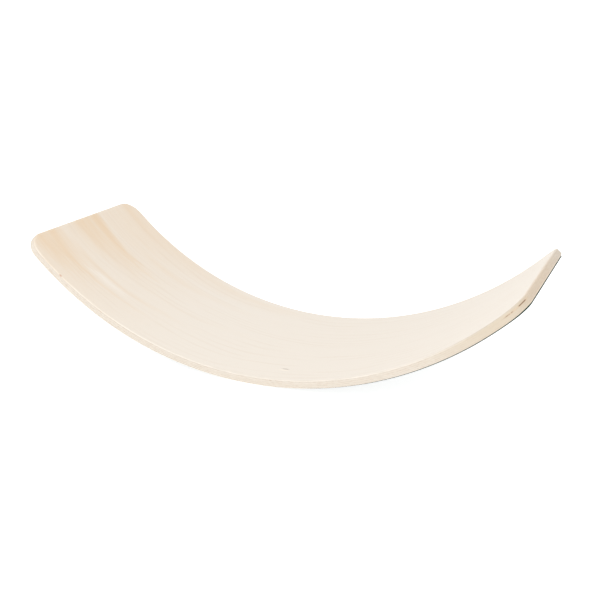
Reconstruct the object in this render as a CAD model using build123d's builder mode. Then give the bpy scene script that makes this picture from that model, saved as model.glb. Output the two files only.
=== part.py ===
"""Curved balance board: a deck bent from nine veneers, with a felt sole under it.

The board lies on the middle of its round underside, and rocks along X.
X runs along the length, Y across the width and Z up.
The origin is on the floor, under the centre of the board.
"""
from build123d import *
import math
import os

# ---------------------------------------------------------------- driving dimensions, mm
board_length = 800.0        # tip to tip along X, before the edges are rounded
board_width = 300.0         # across the deck, along Y
deck_radius = 530.0         # hollow upper face
veneer_count = 9            # odd, so that face and back have the same grain
veneer_thickness = 1.4      # one veneer with its glue
plan_corner_radius = 32.0   # the four corners of the blank
edge_round = 3.0            # soft rounding of every long and short edge
felt_thickness = 2.0        # sole under the board
felt_margin = 6.5           # bare wood left along each side of the sole
felt_end_margin = 3.5       # bare wood left at each end of the sole
felt_corner_margin = 3.1    # bare wood left across each corner of the sole
felt_lip_round = 0.6        # outer edge of the sole
parting_overrun = 10.0      # how far the surfaces that part the veneers run past the blank

# ---------------------------------------------------------------- what follows from them
board_thickness = veneer_count * veneer_thickness
back_radius = deck_radius + board_thickness
sole_radius = back_radius + felt_thickness
end_angle = math.degrees(math.asin(board_length / 2 / back_radius))
sole_end_angle = end_angle - math.degrees(felt_end_margin / back_radius)
sole_width = board_width - 2 * felt_margin
square_corner_margin = (felt_margin + felt_end_margin) / math.sqrt(2)
sole_corner_radius = plan_corner_radius + (felt_corner_margin - square_corner_margin) / (math.sqrt(2) - 1)
parting_angle = end_angle + math.degrees(parting_overrun / deck_radius)
parting_half_width = board_width / 2 + parting_overrun

# the bend is drawn on an upright plane along the board, about the bend's centre
bend_plane = Plane(origin=(0, 0, sole_radius), x_dir=(1, 0, 0), z_dir=(0, -1, 0))


def on_circle(radius, angle):
    """Point at an angle from straight down, on a circle about the bend's centre."""
    turn = math.radians(angle)
    return (radius * math.sin(turn), -radius * math.cos(turn))


def bent_strip(inner_radius, outer_radius, half_angle):
    """Side view of a strip bent between two radii and cut square to its curve."""
    with BuildSketch(bend_plane) as strip:
        with BuildLine():
            inner = ThreePointArc(
                on_circle(inner_radius, -half_angle),
                on_circle(inner_radius, 0),
                on_circle(inner_radius, half_angle),
            )
            outer = ThreePointArc(
                on_circle(outer_radius, -half_angle),
                on_circle(outer_radius, 0),
                on_circle(outer_radius, half_angle),
            )
            Line(inner @ 0, outer @ 0)
            Line(inner @ 1, outer @ 1)
        make_face()
    return strip.sketch


def plan_corners(strip, thickness):
    """The four short edges through a bent strip's thickness, at its corners."""
    straight = strip.edges().filter_by(GeomType.LINE)
    return straight.filter_by(lambda edge: abs(edge.length - thickness) < thickness / 100)


def rim(strip, radius):
    """The edges around one of a bent strip's two curved faces."""
    curved = strip.faces().filter_by(GeomType.CYLINDER)
    return curved.filter_by(lambda face: abs(face.radius - radius) < radius / 1e5).edges()


def veneer_name(layer):
    """Face at the top, back at the bottom, cross and long grain in turn between them."""
    if layer == 0:
        return "face_veneer"
    if layer == veneer_count - 1:
        return "back_veneer"
    grain = "cross" if layer % 2 else "long"
    return f"{grain}_veneer_{(layer + 1) // 2}"


# ---------------------------------------------------------------- the pressed and trimmed blank
with BuildPart() as blank:
    extrude(bent_strip(deck_radius, back_radius, end_angle), board_width / 2, both=True)
    fillet(plan_corners(blank.part, board_thickness), plan_corner_radius)
    fillet(rim(blank.part, deck_radius) + rim(blank.part, back_radius), edge_round)

os.makedirs("parts", exist_ok=True)

# ---------------------------------------------------------------- the veneers that it is made of
for layer in range(veneer_count):
    upper_radius = deck_radius + layer * veneer_thickness
    lower_radius = upper_radius + veneer_thickness
    layer_strip = bent_strip(upper_radius, lower_radius, parting_angle)
    with BuildPart() as veneer:
        add(blank.part)
        extrude(layer_strip, parting_half_width, both=True, mode=Mode.INTERSECT)
    veneer.part.label = veneer_name(layer)
    export_step(veneer.part, f"parts/{veneer_name(layer)}.step")

# ---------------------------------------------------------------- felt sole
with BuildPart() as felt_sole:
    extrude(bent_strip(back_radius, sole_radius, sole_end_angle), sole_width / 2, both=True)
    fillet(plan_corners(felt_sole.part, felt_thickness), sole_corner_radius)
    fillet(rim(felt_sole.part, sole_radius), felt_lip_round)
felt_sole.part.label = "felt_sole"
export_step(felt_sole.part, "parts/felt_sole.step")
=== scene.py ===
"""Curved balance board: nine bent veneers and a felt sole, on a pale studio floor.

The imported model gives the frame. Every visible piece is a closed surface worked out with
numpy from one bend, which is read from the boxes of the square-cut inner veneers.
Lengths are metres, +X runs along the board, +Y across it and +Z up.
"""
import math
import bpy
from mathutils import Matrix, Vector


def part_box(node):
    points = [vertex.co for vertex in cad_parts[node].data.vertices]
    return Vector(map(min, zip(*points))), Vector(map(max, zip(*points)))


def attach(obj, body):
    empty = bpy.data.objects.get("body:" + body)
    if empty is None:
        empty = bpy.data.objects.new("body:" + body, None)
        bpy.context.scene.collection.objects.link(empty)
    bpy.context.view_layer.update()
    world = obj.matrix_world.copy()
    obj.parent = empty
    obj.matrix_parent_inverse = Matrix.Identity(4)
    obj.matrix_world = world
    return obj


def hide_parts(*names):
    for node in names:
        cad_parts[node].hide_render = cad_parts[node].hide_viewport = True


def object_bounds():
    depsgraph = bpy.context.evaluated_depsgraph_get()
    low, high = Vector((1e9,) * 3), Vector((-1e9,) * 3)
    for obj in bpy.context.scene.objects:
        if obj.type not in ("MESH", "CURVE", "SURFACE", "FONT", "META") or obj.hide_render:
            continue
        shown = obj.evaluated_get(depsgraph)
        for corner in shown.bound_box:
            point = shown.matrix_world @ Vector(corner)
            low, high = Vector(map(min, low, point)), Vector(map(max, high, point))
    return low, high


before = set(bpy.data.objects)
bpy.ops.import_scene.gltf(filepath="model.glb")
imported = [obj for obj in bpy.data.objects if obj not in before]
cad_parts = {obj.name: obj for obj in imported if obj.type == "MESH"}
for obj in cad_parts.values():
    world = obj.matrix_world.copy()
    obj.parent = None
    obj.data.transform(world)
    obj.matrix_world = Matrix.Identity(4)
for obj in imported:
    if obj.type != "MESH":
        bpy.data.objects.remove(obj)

from types import SimpleNamespace

import bpy
import numpy as np
from bpy.props import FloatProperty, FloatVectorProperty, IntProperty, PointerProperty
from mathutils import Vector

bl_info = {
    "name": "Curved Balance Board",
    "version": (1, 0, 0),
    "blender": (4, 5, 0),
    "location": "3D View > Sidebar > Board",
    "description": "Builds a bent veneer balance board with a felt sole, and its studio",
    "category": "Add Mesh",
}

CAD_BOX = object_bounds()
BODY = "root"

CORNER_STEPS = 14  # columns round each plan corner of a veneer
SOLE_COLUMNS, SOLE_ROWS, SOLE_CORNER_STEPS = 330, 104, 12
VENEER_FIT, SOLE_FIT = 0.0003, 0.0004  # how far a piece's box may be from its node's box
VENEER_SHARP, SOLE_SHARP, FLOOR_SHARP = (math.radians(angle) for angle in (40, 60, 30))
SAWN_SHARE = 0.7  # the least end grain that the edge of an inner veneer shows
SEED_STEP = 7.31  # between the noise seeds of one veneer and the next
OPEN_JOINT = 3  # the glue line with the open seam, counted from the deck
RING_PITCH = 0.013  # between the growth lines, across the board
FLOOR_REACH = 80.0  # far enough that the horizon lies outside every view

# from the deck down; the three middle ones are cut square, with no rounding
VENEERS = (
    "face_veneer",
    "cross_veneer_1",
    "long_veneer_1",
    "cross_veneer_2",
    "long_veneer_2",
    "cross_veneer_3",
    "long_veneer_3",
    "cross_veneer_4",
    "back_veneer",
)
SOLE = "felt_sole"
SQUARE_ABOVE, MIDDLE, SQUARE_BELOW = VENEERS[3:6]


def read_bend():
    """The bend, from the boxes of the three square-cut veneers in the middle.

    Their upper end edges lie on one radial line, so the steps in x and z from one to the next
    give the end's angle from straight down and the veneer's thickness. The middle veneer's
    outer end edge is then at its outer radius times the sine of that angle.
    """
    above, middle, below = (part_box(name)[1] for name in (SQUARE_ABOVE, MIDDLE, SQUARE_BELOW))
    step_x, step_z = below.x - above.x, above.z - below.z
    end_angle = math.atan2(step_x, step_z)
    thickness = math.hypot(step_x, step_z) / 2
    outer = middle.x / math.sin(end_angle)
    layer = VENEERS.index(MIDDLE)
    deck_radius = outer - (layer + 1) * thickness
    return SimpleNamespace(
        end_angle=end_angle,
        veneer=thickness,
        deck_radius=deck_radius,
        back_radius=deck_radius + len(VENEERS) * thickness,
        board=len(VENEERS) * thickness,
        height=middle.z + (outer - thickness) * math.cos(end_angle),
        half_width=middle.y,
        margin=middle.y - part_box(SOLE)[1].y,
    )


BEND = read_bend()


# ------------------------------------------------------------------------- settings
def length_property(name, description, default, low, high):
    """A length in metres."""
    return FloatProperty(
        name=name, description=description, default=default, min=low, max=high, unit="LENGTH"
    )


def colour_property(name, description, default):
    """A linear RGB colour."""
    return FloatVectorProperty(
        name=name, description=description, subtype="COLOR", default=default, min=0.0, max=1.0
    )


class BoardSizes(bpy.types.PropertyGroup):
    """Sizes of the board that its veneers' boxes do not show."""

    corner_radius: length_property("Corner radius", "The four corners in plan", 0.032, 0.005, 0.1)
    edge_round: length_property(
        "Edge rounding", "Rounding of the upper and lower edges", 0.003, 0.0015, 0.006
    )
    joint_arris: length_property(
        "Joint arris", "Fine groove at each glue line on the board's edge", 0.00007, 0.0, 0.0004
    )
    felt_end_margin: length_property(
        "Felt end margin", "Bare wood left at each end of the sole", 0.0035, 0.0, 0.05
    )
    felt_corner_margin: length_property(
        "Felt corner margin", "Bare wood left across each corner of the sole", 0.0031, 0.0, 0.05
    )
    felt_lip: length_property("Felt lip", "Rounding of the sole's outer edge", 0.0006, 0.0002, 0.0009)
    felt_nap: length_property("Felt nap", "Depth of the sole's uneven surface", 0.00016, 0.0, 0.0005)
    columns: IntProperty(
        name="Columns", description="Grid columns along the straight part of a veneer",
        default=240, min=40, max=600,
    )


class BoardColours(bpy.types.PropertyGroup):
    """Colours of the veneers, glue and felt."""

    pale_wood: colour_property(
        "Pale wood", "Sapwood of the face and the long plies", (0.735, 0.675, 0.600)
    )
    tan_wood: colour_property("Tan wood", "Darker streaks along the grain", (0.700, 0.548, 0.388))
    growth_line: colour_property("Growth lines", "Fine lines between the rings", (0.56, 0.42, 0.29))
    # partly sanded wood, partly painted highlight: the pale colour the rounded rim takes at the left end
    sanded_and_highlight_wood: colour_property(
        "Sanded wood", "Paler wood where the long edges are sanded round", (0.765, 0.715, 0.635)
    )
    end_grain: colour_property(
        "End grain", "Cut ends of the fibres on the board's edge", (0.608, 0.558, 0.488)
    )
    # darker brown colour on the rim towards the right end, most on the near side
    right_rim_brown: colour_property(
        "Toasted edge", "Edge browned by the saw and by handling, at the right end", (0.548, 0.468, 0.360)
    )
    honey: colour_property("Honey end", "Warmer end grain across the right end", (0.632, 0.488, 0.338))
    glue: colour_property("Glue line", "Glue between the veneers", (0.36, 0.22, 0.12))
    felt: colour_property("Felt", "Main colour of the felt sole", (0.004, 0.016, 0.011))
    felt_fibre: colour_property("Felt fibre", "Lighter fibres in the felt", (0.012, 0.042, 0.030))


class StudioSettings(bpy.types.PropertyGroup):
    """Camera, floor and lights."""

    azimuth: FloatProperty(
        name="Azimuth", description="Turn of the camera round the board, from the front",
        subtype="ANGLE", default=math.radians(23.71),
    )
    elevation: FloatProperty(
        name="Elevation", description="Height of the camera above the horizon",
        subtype="ANGLE", default=math.radians(18.257),
    )
    distance: FloatProperty(
        name="Distance", description="From the camera to its aim", default=1.506, unit="LENGTH",
    )
    aim: FloatVectorProperty(
        name="Aim", description="Offset of the camera's aim from the middle of the board",
        subtype="TRANSLATION", default=(0.0108, -0.0001, 0.0036),
    )
    lens: FloatProperty(
        name="Lens", description="Focal length in millimetres, on a 36 mm sensor", default=57.49,
    )
    floor: colour_property("Floor", "Colour of the floor", (0.50, 0.50, 0.497))
    glow: FloatProperty(name="Floor glow", description="Light from below the floor", default=0.88)
    key: FloatProperty(
        name="Key light", description="Power of the main softbox", default=20.0, unit="POWER",
    )
    fill: FloatProperty(
        name="Fill light", description="Power of the front softbox", default=16.0, unit="POWER",
    )
    sky: FloatProperty(name="Sky", description="Strength of the white surroundings", default=1.0)


# ------------------------------------------------------------------------- bent strips
def strip_points(strip, radius, inset, along, turn, across):
    """Points of a bent strip with rounded plan corners, at one radius and one inset.

    along runs -1..1 from end to end, turn 0..90 degrees round a plan corner, across -1..1.
    The distance in from the end is the corner radius, less its reduced radius times the sine
    of the turn; the half width ends that radius times the cosine outside the corner's centre.
    The angle round the bend is along times what the end's angle leaves of that distance.
    Returns the points and their unbent places: along the deck, across, and depth below it.
    """
    reduced = strip.corner - inset
    from_end = strip.corner - reduced * np.sin(turn)
    half = strip.half_width - strip.corner + reduced * np.cos(turn)
    angle = along * (strip.end_angle - np.arcsin(from_end / radius))
    y = across * half
    bent = np.stack(
        [radius * np.sin(angle), y, BEND.height - radius * np.cos(angle)], axis=-1
    )
    depth = np.broadcast_to(radius - BEND.deck_radius, y.shape)
    unbent = np.stack([angle * BEND.deck_radius, y, depth], axis=-1)
    return bent, unbent


def strip_columns(straight, corner_steps):
    """The columns' places: round one corner, along the straight part, round the other."""
    quarter = np.linspace(0.0, math.pi / 2, corner_steps + 1)
    middle = np.linspace(-1.0, 1.0, straight + 1)
    along = np.concatenate([-np.ones(corner_steps), middle, np.ones(corner_steps)])
    turn = np.concatenate([quarter[:0:-1], np.zeros(straight + 1), quarter[1:]])
    return along, turn


def strip_rows(rows, crowding):
    """Places across the strip from -1 to 1, crowded towards both long sides.

    An even step plus a sine of it, so that the rows close up where the sides are.
    """
    even = np.linspace(-1.0, 1.0, rows)
    return even + crowding * np.sin(math.pi * even) / math.pi


def loop_order(columns, rows):
    """Column and row of each vertex round the grid's border, from the near left corner."""
    c, r = np.arange(columns), np.arange(1, rows - 1)
    column = np.concatenate(
        [c, np.full(rows - 2, columns - 1), c[::-1], np.zeros(rows - 2, int)]
    )
    row = np.concatenate(
        [np.zeros(columns, int), r, np.full(columns, rows - 1), r[::-1]]
    )
    return column, row


def grid_quads(first, columns, rows):
    """Quads of a grid whose vertices run column by column, seen anticlockwise from the hollow."""
    index = first + np.arange(columns * rows).reshape(columns, rows)
    corners = (index[:-1, :-1], index[1:, :-1], index[1:, 1:], index[:-1, 1:])
    return np.stack(corners, axis=-1).reshape(-1, 4)


def closed_strip(strip, profile, straight, corner_steps, across, ripple=None):
    """A closed strip: an upper grid, a wall that follows the profile, and a lower grid.

    profile is a list of (radius, inset) from the upper rim to the lower one. ripple is a
    function of the unbent places that gives how far each point is drawn in towards the board.
    Returns the points, the quads, the unbent places and each vertex's step down the profile.
    """
    along, turn = strip_columns(straight, corner_steps)
    columns, rows = len(along), len(across)
    column, row = loop_order(columns, rows)
    grid_along, grid_across = np.meshgrid(along, across, indexing="ij")
    grid_turn = np.repeat(turn[:, None], rows, axis=1)
    last = len(profile) - 1

    points, places, steps = [], [], []
    for step, (radius, inset) in enumerate(profile):
        if step in (0, last):
            laid = (grid_along.ravel(), grid_turn.ravel(), grid_across.ravel())
        else:
            laid = (along[column], turn[column], across[row])
        bent, unbent = strip_points(strip, radius, inset, *laid)
        points.append(bent)
        places.append(unbent)
        steps.append(np.full(len(bent), step))
    starts = np.cumsum([0] + [len(p) for p in points])
    points, places, steps = (np.concatenate(x) for x in (points, places, steps))

    border = column * rows + row
    loops = [starts[step] + np.arange(len(column)) for step in range(last + 1)]
    loops[0], loops[last] = border, starts[last] + border
    walls = []
    for upper, lower in zip(loops[:-1], loops[1:]):
        walls.append(np.stack([upper, lower, np.roll(lower, -1), np.roll(upper, -1)], axis=-1))
    upper_face = grid_quads(0, columns, rows)
    lower_face = grid_quads(starts[last], columns, rows)[:, ::-1]
    quads = np.concatenate([upper_face, *walls, lower_face])
    if ripple is not None:
        towards_bend = np.array([0.0, 0.0, BEND.height]) - points
        towards_bend[:, 1] = 0.0
        towards_bend /= np.linalg.norm(towards_bend, axis=1, keepdims=True)
        points = points + towards_bend * ripple(places)[:, None]
    return points, quads, places, steps


def rim_length(depth, rounding):
    """Length down the board's edge from the deck to a depth: arc, flat, arc."""
    arc = rounding * math.pi / 2
    if depth < rounding:
        return rounding * math.acos(1 - depth / rounding)
    if depth <= BEND.board - rounding:
        return arc + depth - rounding
    below = BEND.board - depth
    return 2 * arc + BEND.board - 2 * rounding - rounding * math.acos(1 - below / rounding)


def rim_profile(length, rounding):
    """Depth and inset at a length down the board's edge: a quarter circle, a flat, another."""
    arc, flat = rounding * math.pi / 2, BEND.board - 2 * rounding
    upper = np.clip(length / rounding, 0, math.pi / 2)
    lower = np.clip((2 * arc + flat - length) / rounding, 0, math.pi / 2)
    inset = rounding * (2 - np.sin(upper) - np.sin(lower))
    below_arc = np.where(
        length <= arc + flat, rounding + length - arc, BEND.board - rounding * (1 - np.cos(lower))
    )
    return np.where(length <= arc, rounding * (1 - np.cos(upper)), below_arc), inset


def veneer_profile(layer, sizes):
    """A veneer's share of the board's edge, drawn in a little at each glue line."""
    arris, rounding = sizes.joint_arris, sizes.edge_round
    top = rim_length(layer * BEND.veneer, rounding)
    bottom = rim_length((layer + 1) * BEND.veneer, rounding)
    glued_above, glued_below = layer > 0, layer < len(VENEERS) - 1
    length = np.unique(np.concatenate([
        np.linspace(top, bottom, 9),
        top + arris * np.array([0.0, 0.3, 1.0]) * glued_above,
        bottom - arris * np.array([0.0, 0.3, 1.0]) * glued_below,
    ]))
    depth, inset = rim_profile(length, rounding)
    depth[0], depth[-1] = layer * BEND.veneer, (layer + 1) * BEND.veneer
    joint = np.minimum(
        length - top if glued_above else np.full_like(length, sizes.edge_round),
        bottom - length if glued_below else np.full_like(length, sizes.edge_round),
    )
    inset = inset + arris * np.clip(1 - joint / arris, 0, 1) ** 2
    return list(zip(BEND.deck_radius + depth, inset)), joint


def outward_share(places, strip):
    """How far the nearest edge of the board faces along it: 0 on the long sides, 1 at the ends.

    Round a plan corner it is the square of the sine of the turn about the corner's centre.
    """
    reach = strip.end_angle * BEND.deck_radius
    along = np.maximum(np.abs(places[:, 0]) - (reach - strip.corner), 0)
    across = np.maximum(np.abs(places[:, 1]) - (strip.half_width - strip.corner), 0)
    spread = along**2 + across**2
    return np.where(spread > 0, along**2 / np.maximum(spread, 1e-12), 0.0)


def rim_distance(places, strip):
    """Distance in from the plan outline: to the nearest side, or to the arc at a corner."""
    reach = strip.end_angle * BEND.deck_radius
    from_end, from_side = reach - np.abs(places[:, 0]), strip.half_width - np.abs(places[:, 1])
    in_corner = (from_end < strip.corner) & (from_side < strip.corner)
    to_centre = np.hypot(strip.corner - from_end, strip.corner - from_side)
    distance = np.where(in_corner, strip.corner - to_centre, np.minimum(from_end, from_side))
    return np.maximum(distance, 0.0)


def make_mesh(name, points, quads, floats, unbent, sharp_angle):
    """A smooth-shaded mesh object with its attributes, sharp where faces meet steeply."""
    mesh = bpy.data.meshes.new(name)
    mesh.vertices.add(len(points))
    mesh.vertices.foreach_set("co", points.astype(np.float32).ravel())
    mesh.loops.add(quads.size)
    mesh.loops.foreach_set("vertex_index", quads.astype(np.int32).ravel())
    mesh.polygons.add(len(quads))
    mesh.polygons.foreach_set("loop_start", np.arange(0, quads.size, 4, dtype=np.int32))
    mesh.update(calc_edges=True)
    if mesh.validate():
        raise RuntimeError(f"{name}: the surface has faulty faces")
    where = mesh.attributes.new("unbent", "FLOAT_VECTOR", "POINT")
    where.data.foreach_set("vector", unbent.astype(np.float32).ravel())
    for key, values in floats.items():
        layer = mesh.attributes.new(key, "FLOAT", "POINT")
        layer.data.foreach_set("value", values.astype(np.float32))
    mesh.shade_smooth()
    mesh.set_sharp_from_angle(angle=sharp_angle)
    made = bpy.data.objects.new(name, mesh)
    bpy.context.scene.collection.objects.link(made)
    return made


def check_fit(piece, node, allowance):
    """Stop if a piece's box leaves its node's box by more than the allowance."""
    points = np.empty(len(piece.data.vertices) * 3, np.float32)
    piece.data.vertices.foreach_get("co", points)
    points = points.reshape(-1, 3)
    low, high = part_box(node)
    gap = max(np.abs(points.min(0) - low).max(), np.abs(points.max(0) - high).max())
    if gap > allowance:
        raise RuntimeError(f"{piece.name} is {gap * 1000:.2f} mm away from {node}")


def board_strip(sizes):
    """The plan of the board itself."""
    return SimpleNamespace(
        end_angle=BEND.end_angle, half_width=BEND.half_width, corner=sizes.corner_radius
    )


def make_veneer(layer, sizes, rows, crowding):
    """One veneer as a closed strip, with what its material needs at each vertex.

    Where the edge is cut, a long ply shows end grain at the ends and a cross ply at the sides.
    On the face veneer it comes in gradually down the rounding.
    """
    node = VENEERS[layer]
    strip = board_strip(sizes)
    profile, joint = veneer_profile(layer, sizes)
    across = strip_rows(rows, crowding)
    points, quads, places, steps = closed_strip(strip, profile, sizes.columns, CORNER_STEPS, across)
    share = outward_share(places, strip)
    distance = rim_distance(places, strip)
    on_wall = np.isin(steps, np.arange(1, len(profile) - 1)) | (distance < 2 * sizes.edge_round)
    cut = share if node.startswith(("long", "face", "back")) else 1 - share
    if layer == 0:
        cut = cut * np.clip(np.linspace(-0.6, 1.2, len(profile)), 0, 1)[steps]
    elif layer < len(VENEERS) - 1:
        cut = SAWN_SHARE + (1 - SAWN_SHARE) * cut
    floats = {
        "end_cut": np.where(on_wall, cut, 0.0),
        "joint": joint[steps],
        "rim": distance,
        "ply": np.full(len(points), float(layer)),
    }
    piece = make_mesh(f"{node}_wood", points, quads, floats, places, VENEER_SHARP)
    check_fit(piece, node, VENEER_FIT)
    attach(piece, BODY)
    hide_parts(node)
    return piece


# ------------------------------------------------------------------------- shader helpers
def put(tree, kind, **settings):
    """A new node with these settings."""
    made = tree.nodes.new(kind)
    for key, value in settings.items():
        setattr(made, key, value)
    return made


def feed(tree, socket, source):
    """Link a socket to an output, or set its value."""
    if isinstance(source, bpy.types.NodeSocket):
        tree.links.new(source, socket)
    else:
        socket.default_value = source


def preset(node, **values):
    """Set a node's inputs by their names, with _ for each space."""
    for key, value in values.items():
        node.inputs[key.replace("_", " ")].default_value = value


def calc(tree, operation, *values, clamp=False):
    """Result of a Math node."""
    made = put(tree, "ShaderNodeMath", operation=operation, use_clamp=clamp)
    for socket, value in zip(made.inputs, values):
        feed(tree, socket, value)
    return made.outputs[0]


def times(tree, value, *factors, clamp=False):
    """A value times one factor after another."""
    for factor in factors:
        value = calc(tree, "MULTIPLY", value, factor, clamp=clamp)
    return value


def split(tree, vector):
    """The three parts of a vector, by the names of their axes."""
    made = put(tree, "ShaderNodeSeparateXYZ")
    feed(tree, made.inputs[0], vector)
    return made.outputs


def smooth(tree, value, low, high, to_low=0.0, to_high=1.0):
    """A value eased from one range to another."""
    made = put(tree, "ShaderNodeMapRange", interpolation_type="SMOOTHSTEP")
    for key, source in zip(
        ("Value", "From Min", "From Max", "To Min", "To Max"), (value, low, high, to_low, to_high)
    ):
        feed(tree, made.inputs[key], source)
    return made.outputs["Result"]


def blend_colour(tree, factor, a, b, how="MIX"):
    """Two colours mixed by a factor."""
    made = put(tree, "ShaderNodeMix", data_type="RGBA", blend_type=how, clamp_factor=True)
    feed(tree, made.inputs["Factor"], factor)
    colours = [socket for socket in made.inputs if socket.type == "RGBA"]
    feed(tree, colours[0], a)
    feed(tree, colours[1], b)
    return next(socket for socket in made.outputs if socket.type == "RGBA")


def vector_calc(tree, operation, *values):
    """Result of a Vector Math node."""
    made = put(tree, "ShaderNodeVectorMath", operation=operation)
    for socket, value in zip(made.inputs, values):
        feed(tree, socket, value)
    return made.outputs["Value" if operation == "LENGTH" else "Vector"]


def noise(tree, place, seed, stretched=None, scale=1.0, detail=2.0, roughness=0.5):
    """Fractal noise from 0 to 1, at a seed and a place, which may be stretched on each axis."""
    if stretched is not None:
        place = vector_calc(tree, "MULTIPLY", place, stretched)
    made = put(tree, "ShaderNodeTexNoise", noise_dimensions="4D")
    feed(tree, made.inputs["Vector"], place)
    feed(tree, made.inputs["W"], seed)
    preset(made, Scale=scale, Detail=detail, Roughness=roughness)
    return made.outputs[0]


def new_group(name, inputs, outputs):
    """An empty node group with named sockets, its tree, its inputs and its output node."""
    tree = bpy.data.node_groups.new(name, "ShaderNodeTree")
    kinds = {"float": "NodeSocketFloat", "colour": "NodeSocketColor", "vector": "NodeSocketVector"}
    for label, (kind, default) in inputs.items():
        made = tree.interface.new_socket(name=label, in_out="INPUT", socket_type=kinds[kind])
        if default is not None:
            made.default_value = default
    for label, kind in outputs.items():
        tree.interface.new_socket(name=label, in_out="OUTPUT", socket_type=kinds[kind])
    return tree, put(tree, "NodeGroupInput").outputs, put(tree, "NodeGroupOutput").inputs


def use_group(tree, group, **values):
    """A group placed in a material, with values for its inputs, with _ for each space."""
    made = put(tree, "ShaderNodeGroup", node_tree=group)
    for key, value in values.items():
        feed(tree, made.inputs[key.replace("_", " ")], value)
    return made.outputs


def attribute(tree, name, vector=False):
    """A mesh attribute, as a value or a vector."""
    made = put(tree, "ShaderNodeAttribute", attribute_name=name)
    return made.outputs["Vector" if vector else "Fac"]


def rgba(colour):
    """A colour property with full alpha."""
    return (*colour, 1.0)


# ------------------------------------------------------------------------- shared effects
def grain_group():
    """Wood grain that runs along the first axis of an unbent place in metres.

    The place is pushed sideways by a slow noise. Streaks are a noise stretched along the
    board; growth lines are a sharpened sine across it, broken up by another noise; fibres
    are a very stretched fine noise, and pores are the peaks of a finer one.
    """
    tree, given, out = new_group(
        "Wood Grain",
        {
            "Place": ("vector", None),
            "Seed": ("float", 0.0),
            "Pale": ("colour", (0.8, 0.7, 0.6, 1)),
            "Tan": ("colour", (0.7, 0.5, 0.4, 1)),
            "Line": ("colour", (0.6, 0.4, 0.3, 1)),
            "Streaks": ("float", 0.5),
            "Lines": ("float", 0.3),
            "Fibres": ("float", 0.3),
        },
        {"Color": "colour", "Height": "float", "Roughness": "float"},
    )
    place, seed = given["Place"], given["Seed"]
    sway = noise(tree, place, seed, (2.2, 9.0, 0.0), detail=3.0)
    push = times(tree, calc(tree, "SUBTRACT", sway, 0.5), 0.030)
    shift = put(tree, "ShaderNodeCombineXYZ")
    feed(tree, shift.inputs["Y"], push)
    place = vector_calc(tree, "ADD", place, shift.outputs[0])

    broad = noise(tree, place, seed, (2.0, 26.0, 0.0), detail=3.0, roughness=0.55)
    narrow = noise(tree, place, seed, (6.0, 90.0, 0.0), detail=4.0, roughness=0.55)
    streak = calc(tree, "ADD", times(tree, broad, 0.72), times(tree, narrow, 0.28))
    figure = calc(tree, "ADD", times(tree, smooth(tree, streak, 0.34, 0.68), 0.55), 0.45)
    streak = times(tree, figure, given["Streaks"], clamp=True)

    ring_turns = times(tree, split(tree, place)["Y"], 2 * math.pi / RING_PITCH)
    sweep = calc(tree, "ADD", times(tree, narrow, 7.0), times(tree, sway, 22.0))
    ring = calc(tree, "SINE", calc(tree, "ADD", ring_turns, sweep))
    ring = calc(tree, "POWER", calc(tree, "MULTIPLY_ADD", ring, 0.5, 0.5), 5.0)
    patches = noise(tree, place, seed, (6.0, 40.0, 0.0), detail=2.0)
    ring = times(tree, ring, smooth(tree, patches, 0.42, 0.62))
    ring = times(tree, ring, given["Lines"], clamp=True)

    fibre = noise(tree, place, seed, (28.0, 1500.0, 900.0), detail=3.0, roughness=0.65)
    pore = noise(tree, place, seed, (130.0, 2600.0, 1500.0), detail=1.0)
    pore = smooth(tree, pore, 0.66, 0.78)
    speck = times(tree, pore, times(tree, given["Fibres"], 0.8), clamp=True)

    colour = blend_colour(tree, streak, given["Pale"], given["Tan"])
    colour = blend_colour(tree, ring, colour, given["Line"])
    shade = times(tree, calc(tree, "SUBTRACT", fibre, 0.5), given["Fibres"])
    shade = calc(tree, "ADD", times(tree, shade, 0.55), 1.0)
    tinted = put(tree, "ShaderNodeVectorMath", operation="SCALE")
    feed(tree, tinted.inputs[0], colour)
    feed(tree, tinted.inputs["Scale"], shade)
    colour = blend_colour(tree, speck, tinted.outputs[0], given["Line"])
    feed(tree, out["Color"], colour)
    feed(tree, out["Height"], calc(tree, "SUBTRACT", fibre, times(tree, pore, 0.8)))
    rough = calc(tree, "ADD", times(tree, fibre, 0.16), times(tree, streak, -0.04))
    feed(tree, out["Roughness"], rough)
    return tree


def end_grain_group():
    """Cut fibre ends: soft bands, pores as peaks of a fine noise, and scorched dashes.

    The dashes are a noise stretched along the edge, let through only where a slow noise is
    high, as where a blunt cutter has rubbed.
    """
    tree, given, out = new_group(
        "End Grain",
        {
            "Place": ("vector", None),
            "Seed": ("float", 0.0),
            "Base": ("colour", (0.6, 0.5, 0.4, 1)),
            "Dark": ("colour", (0.3, 0.2, 0.1, 1)),
            "Pores": ("float", 0.5),
            "Scorch": ("float", 0.3),
        },
        {"Color": "colour", "Height": "float"},
    )
    place, seed = given["Place"], given["Seed"]
    pores = noise(tree, place, seed, (2600.0, 2600.0, 3400.0), detail=2.0, roughness=0.6)
    pit = smooth(tree, pores, 0.56, 0.70)
    bands = noise(tree, place, seed, (160.0, 160.0, 500.0), detail=3.0)
    dash = noise(tree, place, seed, (170.0, 170.0, 1400.0), detail=2.0)
    rubbed = noise(tree, place, seed, (14.0, 14.0, 0.0), detail=1.0)
    scorch = times(tree, smooth(tree, dash, 0.55, 0.68), smooth(tree, rubbed, 0.47, 0.62))
    scorch = times(tree, scorch, given["Scorch"], clamp=True)
    dark = times(tree, pit, times(tree, given["Pores"], 0.6), clamp=True)
    dark = calc(tree, "ADD", dark, times(tree, smooth(tree, bands, 0.4, 0.7), 0.18))
    dark = calc(tree, "MAXIMUM", dark, scorch, clamp=True)
    feed(tree, out["Color"], blend_colour(tree, dark, given["Base"], given["Dark"]))
    feed(tree, out["Height"], calc(tree, "SUBTRACT", 1.0, calc(tree, "MAXIMUM", pit, scorch)))
    return tree


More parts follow.
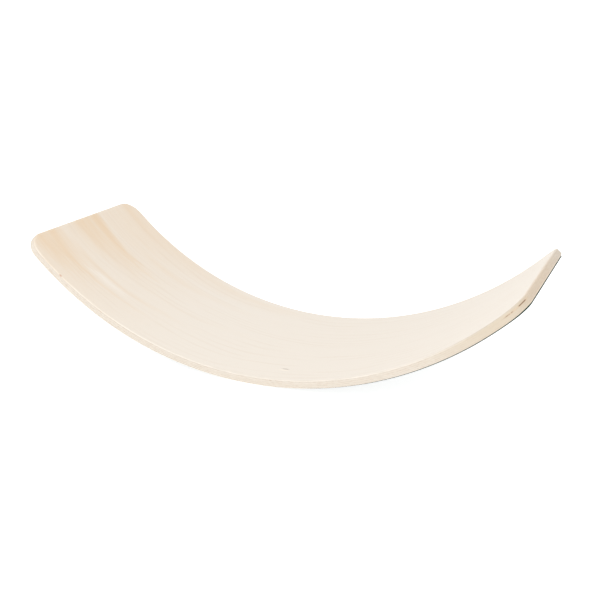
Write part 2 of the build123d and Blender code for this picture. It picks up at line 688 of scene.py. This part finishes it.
def edge_wear_group():
    """Where hands and floors rub: strongest at the rim, broken up by noise, gone at Reach. On the veneers
    the same mask also places a paler rim that is in part painted highlight.
    """
    tree, given, out = new_group(
        "Edge Wear",
        {"Place": ("vector", None), "Rim": ("float", 1.0), "Reach": ("float", 0.005)},
        {"Mask": "float"},
    )
    share = calc(tree, "DIVIDE", given["Rim"], given["Reach"])
    near = calc(tree, "SUBTRACT", 1.0, smooth(tree, share, 0.15, 1.0))
    broken = noise(tree, given["Place"], 3.1, (45.0, 45.0, 300.0), detail=4.0, roughness=0.6)
    feed(tree, out["Mask"], times(tree, near, smooth(tree, broken, 0.35, 0.65), clamp=True))
    return tree


def dust_group():
    """Fine dust and faint hand marks: two soft noises over the surface, as masks."""
    tree, given, out = new_group(
        "Dust",
        {"Place": ("vector", None), "Seed": ("float", 0.0)},
        {"Marks": "float", "Specks": "float"},
    )
    marks = noise(tree, given["Place"], given["Seed"], (11.0, 14.0, 11.0), detail=4.0)
    specks = noise(tree, given["Place"], given["Seed"], (900.0, 900.0, 900.0), detail=1.0)
    feed(tree, out["Marks"], smooth(tree, marks, 0.45, 0.7))
    feed(tree, out["Specks"], smooth(tree, specks, 0.72, 0.80))
    return tree


def fleck_group():
    """One small fleck: a ragged ellipse about a centre, from its length along and width across."""
    tree, given, out = new_group(
        "Fleck",
        {
            "Place": ("vector", None),
            "Centre": ("vector", None),
            "Reach": ("vector", (0.002, 0.001, 0.002)),
        },
        {"Mask": "float"},
    )
    away = vector_calc(tree, "SUBTRACT", given["Place"], given["Centre"])
    share = vector_calc(tree, "DIVIDE", away, given["Reach"])
    size = vector_calc(tree, "LENGTH", share)
    ragged = noise(tree, given["Place"], 5.7, (700.0, 1800.0, 900.0), detail=2.0)
    distance = calc(tree, "ADD", size, times(tree, ragged, 0.8))
    feed(tree, out["Mask"], calc(tree, "SUBTRACT", 1.0, smooth(tree, distance, 0.7, 1.5)))
    return tree


def felt_group():
    """Pressed wool: clumps, and fibres as fine noises stretched in three directions."""
    tree, given, out = new_group(
        "Felt Fibres",
        {"Place": ("vector", None)},
        {"Fibres": "float", "Clumps": "float", "Height": "float"},
    )
    layers = []
    for seed, degrees in enumerate((12.0, 74.0, 133.0)):
        turned = put(tree, "ShaderNodeVectorRotate", rotation_type="Z_AXIS")
        feed(tree, turned.inputs["Vector"], given["Place"])
        turned.inputs["Angle"].default_value = math.radians(degrees)
        fine = noise(tree, turned.outputs[0], seed + 0.5, (260.0, 2600.0, 1500.0), detail=2.0)
        layers.append(smooth(tree, fine, 0.50, 0.72))
    fibres = calc(tree, "MAXIMUM", calc(tree, "MAXIMUM", layers[0], layers[1]), layers[2])
    clumps = noise(tree, given["Place"], 8.0, (190.0, 190.0, 190.0), detail=5.0, roughness=0.62)
    feed(tree, out["Fibres"], fibres)
    feed(tree, out["Clumps"], clumps)
    feed(tree, out["Height"], calc(tree, "ADD", times(tree, fibres, 0.5), clumps))
    return tree


SHARED = {
    "grain": grain_group,
    "end_grain": end_grain_group,
    "edge_wear": edge_wear_group,
    "dust": dust_group,
    "fleck": fleck_group,
    "felt": felt_group,
}
_made_groups = {}


def shared(name):
    """A shared node group, built the first time it is asked for."""
    if name not in _made_groups:
        _made_groups[name] = SHARED[name]()
    return _made_groups[name]


def new_material(name):
    """A material with one Principled shader; returns it, its tree and the shader."""
    material = bpy.data.materials.new(name)
    material.use_nodes = True
    tree = material.node_tree
    tree.nodes.clear()
    shader = put(tree, "ShaderNodeBsdfPrincipled")
    output = put(tree, "ShaderNodeOutputMaterial")
    tree.links.new(shader.outputs[0], output.inputs["Surface"])
    return material, tree, shader


def bump(tree, shader, height, distance, strength=1.0):
    """Feed the shader's normal from a height."""
    made = put(tree, "ShaderNodeBump")
    preset(made, Strength=strength, Distance=distance)
    feed(tree, made.inputs["Height"], height)
    tree.links.new(made.outputs[0], shader.inputs["Normal"])


# ------------------------------------------------------------------------- materials
def ply_material(name, colours, streaks, scorch, marks=None):
    """Veneer with long grain on its faces, end grain where it is cut, and glue at its joints.

    The rounding is pale at the left, partly sanded wood and partly a painted highlight along the
    arris, and darker towards the middle. Near the right end the rim turns a darker brown, most on
    the near side, and warmer across the end.
    streaks is a strength or a function that builds one; on the deck that function also holds a band of
    painted shade along the far edge. marks is a function that adds what only this veneer shows: it
    takes the tree, the place and the colour, and gives the new one.
    """
    material, tree, shader = new_material(name)
    place = attribute(tree, "unbent", vector=True)
    ply = times(tree, attribute(tree, "ply"), SEED_STEP)
    long_grain = use_group(
        tree, shared("grain"), Place=place, Seed=ply, Pale=rgba(colours.pale_wood),
        Tan=rgba(colours.tan_wood), Line=rgba(colours.growth_line),
        Streaks=streaks(tree, place) if callable(streaks) else streaks, Lines=0.12, Fibres=0.16,
    )
    cut = use_group(
        tree, shared("end_grain"), Place=place, Seed=ply, Base=rgba(colours.end_grain),
        Dark=rgba(colours.glue), Pores=0.35, Scorch=scorch,
    )
    dust = use_group(tree, shared("dust"), Place=place, Seed=ply)
    worn = use_group(tree, shared("edge_wear"), Place=place, Rim=attribute(tree, "rim"), Reach=0.005)
    end_cut = attribute(tree, "end_cut")
    colour = blend_colour(tree, end_cut, long_grain["Color"], cut["Color"])
    glue = calc(tree, "SUBTRACT", 1.0, smooth(tree, attribute(tree, "joint"), 0.00004, 0.00026))
    patchy = noise(tree, place, ply, (60.0, 60.0, 0.0), detail=3.0)
    glue = times(tree, glue, smooth(tree, patchy, 0.3, 0.7, 0.04, 0.22))
    colour = blend_colour(tree, glue, colour, rgba(colours.glue))
    along, across = (split(tree, place)[axis] for axis in "XY")
    # painted highlight: the rounded rim is paler at the left, partly as sanded wood and partly as the
    # highlight along the arris, and turns to the end grain colour towards the middle
    sanded = times(tree, worn["Mask"], calc(tree, "SUBTRACT", 1.0, end_cut))
    towards_middle = smooth(tree, along, -0.26, -0.02)
    sanded_and_highlight_colour = blend_colour(tree, towards_middle, rgba(colours.sanded_and_highlight_wood), rgba(colours.end_grain))
    colour = blend_colour(tree, times(tree, sanded, 0.6), colour, sanded_and_highlight_colour)
    # the rim turns a darker brown towards the right end, most on the near side, and warmer across the end
    past_corner = smooth(tree, across, -0.146, -0.110)
    browned = times(
        tree,
        smooth(tree, attribute(tree, "rim"), 0.001, 0.010, 1.0, 0.0),
        smooth(tree, past_corner, 0.0, 1.0, 0.8, 0.5),
        smooth(tree, across, -0.02, 0.14, 1.0, 0.2),
        smooth(tree, along, 0.24, 0.40),
    )
    brown = blend_colour(tree, past_corner, rgba(colours.right_rim_brown), rgba(colours.honey))
    colour = blend_colour(tree, browned, colour, brown)
    if marks is not None:
        colour = marks(tree, place, colour)
    feed(tree, shader.inputs["Base Color"], colour)
    rough = calc(tree, "ADD", long_grain["Roughness"], 0.42)
    rough = calc(tree, "ADD", rough, times(tree, end_cut, 0.18))
    rough = calc(tree, "ADD", rough, times(tree, dust["Marks"], 0.06), clamp=True)
    feed(tree, shader.inputs["Roughness"], rough)
    preset(shader, Specular_IOR_Level=0.32)
    height = put(tree, "ShaderNodeMix", data_type="FLOAT")
    feed(tree, height.inputs[0], end_cut)
    feed(tree, height.inputs[2], long_grain["Height"])
    feed(tree, height.inputs[3], cut["Height"])
    bump(tree, shader, height.outputs[0], 0.00008, 0.55)
    return material


# for each streak, and for the one band of painted shade along the far edge: its centre line across,
# half width, softness of its near and far side, start and end along the board, strength from 0 to 1,
# and drift across over its length; lengths in metres
DECK_STREAKS_AND_SHADE = (
    (0.022, 0.034, 0.026, 0.006, -0.54, -0.235, 0.66, -0.020),
    (-0.030, 0.030, 0.026, 0.026, -0.54, -0.320, 0.34, 0.004),
    (-0.108, 0.038, 0.030, 0.028, -0.54, -0.300, 0.72, 0.006),
    (-0.064, 0.0040, 0.007, 0.006, -0.42, -0.130, 0.46, 0.010),
    (-0.099, 0.0034, 0.006, 0.005, -0.42, -0.180, 0.40, 0.010),
    (0.060, 0.006, 0.012, 0.010, -0.34, -0.020, 0.26, 0.012),
    # painted shade, not wood: this band along the far edge, from the left end to about the middle, darkens
    # the deck towards tan where shade falls
    (0.128, 0.022, 0.026, 0.010, -0.52, 0.060, 0.48, -0.004),
    (0.096, 0.010, 0.014, 0.014, -0.46, -0.050, 0.28, 0.006),
    (-0.020, 0.005, 0.010, 0.010, -0.30, -0.010, 0.16, 0.008),
)
STREAK_WANDER, STREAK_RAG = 0.011, 0.07  # how far noise moves a streak across and along
FADE_IN, FADE_OUT = 0.15, 0.45  # shares of a streak's length over which its ends fade
PALE_STREAK = (-0.079, 0.006, 0.007, 0.006, -0.35, -0.245, 0.80, 0.010)


def streak_mask(tree, along, across, streak):
    """Mask of one streak: a band with two soft sides, fading in and out along the board."""
    centre, half, near, far, start, end, strength, drift = streak
    travel = calc(tree, "SUBTRACT", along, start)
    centre_line = calc(tree, "MULTIPLY_ADD", travel, drift / (end - start), centre)
    offset = calc(tree, "SUBTRACT", across, centre_line)
    reach = times(tree, smooth(tree, along, start, end, 1.0, 0.45), half)
    low_side = calc(tree, "ADD", offset, reach)
    high_side = calc(tree, "SUBTRACT", reach, offset)
    band = times(tree, smooth(tree, low_side, -near, near), smooth(tree, high_side, -far, far))
    length = end - start
    ends = times(
        tree,
        smooth(tree, along, start, start + FADE_IN * length),
        smooth(tree, along, end - FADE_OUT * length, end, 1.0, 0.0),
    )
    return times(tree, band, ends, strength)


# a fleck's centre, its reach along, across and in depth, its strength and its colour: the pale
# tail of a pin knot, the knot over it, and a gum spot on the near left edge
FLECKS = (
    ((0.0395, -0.1110, 0.0), (0.0090, 0.0026, 0.01), 0.5, (0.90, 0.82, 0.70)),
    ((0.0405, -0.1065, 0.0), (0.0075, 0.0011, 0.01), 0.85, (0.16, 0.085, 0.04)),
    ((-0.357, -0.1487, 0.0010), (0.0030, 0.0018, 0.004), 0.6, (0.45, 0.20, 0.11)),
)


def deck_places(tree, place):
    """Along and across, pushed a little by slow noise so that the streaks wander."""
    apart = split(tree, place)
    wander = noise(tree, place, 4.3, (9.0, 34.0, 0.0), detail=4.0)
    ragged = noise(tree, place, 6.1, (30.0, 400.0, 0.0), detail=3.0)
    across = calc(tree, "MULTIPLY_ADD", wander, 2 * STREAK_WANDER, apart["Y"])
    along = calc(tree, "MULTIPLY_ADD", ragged, 2 * STREAK_RAG, apart["X"])
    return calc(tree, "SUBTRACT", along, STREAK_RAG), calc(tree, "SUBTRACT", across, STREAK_WANDER)


def deck_streaks_and_shade(tree, place):
    """Heartwood tan at the left end that fades towards the right, with the placed streaks and a band of
    painted shade along the far edge.
    """
    along, across = deck_places(tree, place)
    total = smooth(tree, along, -0.46, -0.10, 0.46, 0.0)
    for streak in DECK_STREAKS_AND_SHADE:
        total = calc(tree, "ADD", total, streak_mask(tree, along, across, streak))
    return calc(tree, "MINIMUM", total, 1.15)


def deck_marks(tree, place, colour):
    """A pale streak, a pin knot with its pale tail, and a gum spot on the near left edge."""
    along, across = deck_places(tree, place)
    pale = times(tree, streak_mask(tree, along, across, PALE_STREAK), 0.6)
    colour = blend_colour(tree, pale, colour, (0.80, 0.75, 0.69, 1))
    masks = [
        use_group(tree, shared("fleck"), Place=place, Centre=centre, Reach=reach)["Mask"]
        for centre, reach, _, _ in FLECKS
    ]
    for mask, (_, _, strength, shade) in zip(masks, FLECKS):
        colour = blend_colour(tree, times(tree, mask, strength), colour, (*shade, 1))
    return colour


def open_seam(tree, place, colour):
    """Dark dashes in one glue line at the near right corner, where the core has a fine gap.

    A band about one depth, only where the board's edge turns the corner, broken by noise
    along the edge.
    """
    along, across, depth = (split(tree, place)[axis] for axis in "XYZ")
    off = calc(tree, "ABSOLUTE", calc(tree, "SUBTRACT", depth, OPEN_JOINT * BEND.veneer))
    line = smooth(tree, off, 0.00025, 0.0008, 1.0, 0.0)
    right, near = smooth(tree, along, 0.398, 0.416), smooth(tree, across, -0.130, -0.122, 1.0, 0.0)
    corner = times(tree, right, near)
    broken = noise(tree, place, 3.3, (210.0, 210.0, 0.0), detail=3.0)
    dashes = times(tree, line, corner, smooth(tree, broken, 0.42, 0.52), 0.95)
    halo = times(tree, smooth(tree, off, 0.0003, 0.0024, 1.0, 0.0), corner, 0.30)
    colour = blend_colour(tree, halo, colour, (0.62, 0.43, 0.27, 1))
    return blend_colour(tree, dashes, colour, (0.13, 0.05, 0.02, 1))


def felt_material(colours):
    """Dense wool felt: a dark ground, lighter fibres, soft clumps and a dull sheen."""
    material, tree, shader = new_material("Dark Green Felt")
    place = attribute(tree, "unbent", vector=True)
    wool = use_group(tree, shared("felt"), Place=place)
    dust = use_group(tree, shared("dust"), Place=place, Seed=2.0)
    worn = use_group(tree, shared("edge_wear"), Place=place, Rim=attribute(tree, "rim"), Reach=0.004)
    fibre = rgba(colours.felt_fibre)
    colour = blend_colour(tree, smooth(tree, wool["Clumps"], 0.35, 0.65), rgba(colours.felt), fibre)
    colour = blend_colour(tree, times(tree, wool["Fibres"], 0.45), colour, fibre)
    colour = blend_colour(tree, times(tree, dust["Specks"], 0.35), colour, (0.32, 0.36, 0.31, 1))
    colour = blend_colour(tree, times(tree, worn["Mask"], 0.35), colour, fibre)
    feed(tree, shader.inputs["Base Color"], colour)
    rough = calc(tree, "SUBTRACT", 0.98, times(tree, wool["Fibres"], 0.10))
    feed(tree, shader.inputs["Roughness"], rough)
    preset(shader, Specular_IOR_Level=0.03, Sheen_Weight=0.02, Sheen_Roughness=0.7)
    preset(shader, Sheen_Tint=(0.45, 0.75, 0.62, 1))
    bump(tree, shader, wool["Height"], 0.0006, 0.8)
    return material


def floor_material(studio):
    """Matt pale floor with a barely uneven tone, lit faintly from below like a light table."""
    material, tree, shader = new_material("Studio Floor")
    where = put(tree, "ShaderNodeTexCoord").outputs["Object"]
    tone = noise(tree, where, 0.0, scale=0.7, detail=3.0)
    paler = tuple(min(1.0, c + 0.015) for c in studio.floor)
    feed(tree, shader.inputs["Base Color"], blend_colour(tree, tone, rgba(studio.floor), rgba(paler)))
    preset(shader, Roughness=0.9, Specular_IOR_Level=0.1)
    preset(shader, Emission_Color=(1.0, 1.0, 1.0, 1), Emission_Strength=studio.glow)
    return material


# ------------------------------------------------------------------------- operators
class BOARD_OT_face_veneer(bpy.types.Operator):
    """Build the face veneer, which is the deck"""

    bl_idname = "board.face_veneer"
    bl_label = "Face Veneer"

    def execute(self, context):
        sizes, colours = context.scene.board_sizes, context.scene.board_colours
        piece = make_veneer(0, sizes, rows=64, crowding=0.75)
        piece.data.materials.append(
            ply_material("Pale Face Veneer", colours, deck_streaks_and_shade, 0.5, deck_marks)
        )
        return {"FINISHED"}


class BOARD_OT_inner_veneers(bpy.types.Operator):
    """Build the seven veneers between the face and the back"""

    bl_idname = "board.inner_veneers"
    bl_label = "Inner Veneers"

    def execute(self, context):
        sizes, colours = context.scene.board_sizes, context.scene.board_colours
        kinds = {
            "long": ply_material("Long Ply", colours, 0.3, 0.4, open_seam),
            "cross": ply_material("Cross Ply", colours, 0.6, 0.6, open_seam),
        }
        for layer in range(1, len(VENEERS) - 1):
            piece = make_veneer(layer, sizes, rows=12, crowding=0.6)
            kind = VENEERS[layer].split("_")[0]
            piece.data.materials.append(kinds[kind])
        return {"FINISHED"}


class BOARD_OT_back_veneer(bpy.types.Operator):
    """Build the back veneer, which shows as a bare margin round the felt"""

    bl_idname = "board.back_veneer"
    bl_label = "Back Veneer"

    def execute(self, context):
        sizes, colours = context.scene.board_sizes, context.scene.board_colours
        piece = make_veneer(len(VENEERS) - 1, sizes, rows=40, crowding=0.75)
        piece.data.materials.append(ply_material("Pale Back Veneer", colours, 0.4, 0.4))
        return {"FINISHED"}


def felt_nap(depth):
    """Uneven surface of pressed felt, drawn inwards so that it never leaves the sole.

    Products of sines at incommensurate pitches, added at three scales, act on the sole's
    lower face and fade out towards the board.
    """
    pitches = ((0.031, 0.023, 0.5), (0.0127, 0.0141, 0.3), (0.0068, 0.0061, 0.2))

    def ripple(places):
        total = np.zeros(len(places))
        for number, (along, across, share) in enumerate(pitches):
            wander = 0.7 * np.sin(places[:, 1] / across + number)
            total += share * np.sin(places[:, 0] / along + wander) * np.sin(
                places[:, 1] / across + 0.6 * np.sin(places[:, 0] / along) + 2 * number
            )
        fade = np.clip((places[:, 2] - BEND.board) / 0.002, 0, 1)
        return depth * fade * (0.5 + 0.5 * total)

    return ripple


def sole_strip(sizes):
    """The plan of the sole: its margins set its size, and its corner margin sets its corners."""
    square_margin = (BEND.margin + sizes.felt_end_margin) / math.sqrt(2)
    return SimpleNamespace(
        end_angle=BEND.end_angle - sizes.felt_end_margin / BEND.back_radius,
        half_width=BEND.half_width - BEND.margin,
        corner=sizes.corner_radius + (sizes.felt_corner_margin - square_margin) / (math.sqrt(2) - 1),
    )


class BOARD_OT_felt_sole(bpy.types.Operator):
    """Build the felt sole"""

    bl_idname = "board.felt_sole"
    bl_label = "Felt Sole"

    def execute(self, context):
        sizes, colours = context.scene.board_sizes, context.scene.board_colours
        strip = sole_strip(sizes)
        lip, outer = sizes.felt_lip, BEND.height
        turns = np.linspace(0, math.pi / 2, 6)
        flat_wall = np.linspace(BEND.back_radius, outer - lip, 5)
        profile = [(radius, 0.0) for radius in flat_wall]
        profile += [(outer - lip * (1 - math.sin(a)), lip * (1 - math.cos(a))) for a in turns[1:]]
        across = strip_rows(SOLE_ROWS, 0.35)
        points, quads, places, _ = closed_strip(
            strip, profile, SOLE_COLUMNS, SOLE_CORNER_STEPS, across, felt_nap(sizes.felt_nap)
        )
        floats = {"rim": rim_distance(places, strip)}
        piece = make_mesh(f"{SOLE}_cloth", points, quads, floats, places, SOLE_SHARP)
        check_fit(piece, SOLE, SOLE_FIT)
        piece.data.materials.append(felt_material(colours))
        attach(piece, BODY)
        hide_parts(SOLE)
        return {"FINISHED"}


def add_softbox(name, place, aim, size, power, tint):
    """A square area light at a place, facing an aim."""
    light = bpy.data.lights.new(name, "AREA")
    light.shape, light.size, light.energy, light.color = "SQUARE", size, power, tint
    made = bpy.data.objects.new(name, light)
    made.location = place
    made.rotation_mode = "QUATERNION"
    made.rotation_quaternion = (aim - place).to_track_quat("-Z", "Y")
    bpy.context.scene.collection.objects.link(made)


class BOARD_OT_stage(bpy.types.Operator):
    """Build the floor, the surroundings, the lights and the camera"""

    bl_idname = "board.stage"
    bl_label = "Stage"

    def execute(self, context):
        studio, scene = context.scene.board_studio, context.scene
        low, high = CAD_BOX
        middle = (low + high) / 2

        reach = np.linspace(-FLOOR_REACH, FLOOR_REACH, 33)
        x, y = np.meshgrid(reach, reach, indexing="ij")
        points = np.stack([x, y, np.full_like(x, low.z)], axis=-1).reshape(-1, 3)
        quads = grid_quads(0, len(reach), len(reach))
        floor = make_mesh("studio_floor", points, quads, {}, points, FLOOR_SHARP)
        floor.data.materials.append(floor_material(studio))

        world = bpy.data.worlds.new("Studio White")
        world.use_nodes = True
        preset(world.node_tree.nodes["Background"], Color=(1.0, 1.0, 1.0, 1), Strength=studio.sky)
        scene.world = world

        add_softbox("key_softbox", Vector((-1.6, -1.1, 2.1)), middle, 1.6, studio.key, (1.0, 0.99, 0.97))
        add_softbox("front_softbox", Vector((1.3, -2.4, 1.2)), middle, 1.8, studio.fill, (1.0, 0.99, 0.98))

        back = Vector((
            math.sin(studio.azimuth) * math.cos(studio.elevation),
            -math.cos(studio.azimuth) * math.cos(studio.elevation),
            math.sin(studio.elevation),
        ))
        camera = bpy.data.objects.new("camera", bpy.data.cameras.new("camera"))
        camera.data.sensor_width = 36.0
        camera.data.lens = studio.lens
        camera.location = middle + Vector(studio.aim) + back * studio.distance
        camera.rotation_mode = "QUATERNION"
        camera.rotation_quaternion = (-back).to_track_quat("-Z", "Y")
        scene.collection.objects.link(camera)
        scene.camera = camera
        scene.view_settings.view_transform = "Standard"
        return {"FINISHED"}


class VIEW3D_PT_board(bpy.types.Panel):
    """Sidebar panel that builds the board piece by piece"""

    bl_label = "Balance Board"
    bl_category = "Board"
    bl_space_type = "VIEW_3D"
    bl_region_type = "UI"

    def draw(self, context):
        layout = self.layout
        for operator in OPERATORS:
            layout.operator(operator.bl_idname)
        scene = context.scene
        for group in (scene.board_sizes, scene.board_colours, scene.board_studio):
            column = layout.column()
            for key in group.__annotations__:
                column.prop(group, key)


OPERATORS = (
    BOARD_OT_face_veneer,
    BOARD_OT_inner_veneers,
    BOARD_OT_back_veneer,
    BOARD_OT_felt_sole,
    BOARD_OT_stage,
)
SETTINGS = {"board_sizes": BoardSizes, "board_colours": BoardColours, "board_studio": StudioSettings}


def register():
    """Register the settings, the operators and the panel."""
    for key, group in SETTINGS.items():
        bpy.utils.register_class(group)
        setattr(bpy.types.Scene, key, PointerProperty(type=group))
    for kind in (*OPERATORS, VIEW3D_PT_board):
        bpy.utils.register_class(kind)


def unregister():
    """Take back everything that register has set."""
    for kind in (VIEW3D_PT_board, *reversed(OPERATORS)):
        bpy.utils.unregister_class(kind)
    for key, group in SETTINGS.items():
        delattr(bpy.types.Scene, key)
        bpy.utils.unregister_class(group)


def main():
    register()
    for operator in OPERATORS:
        group, name = operator.bl_idname.split(".")
        getattr(getattr(bpy.ops, group), name)()


if __name__ == "__main__":
    main()
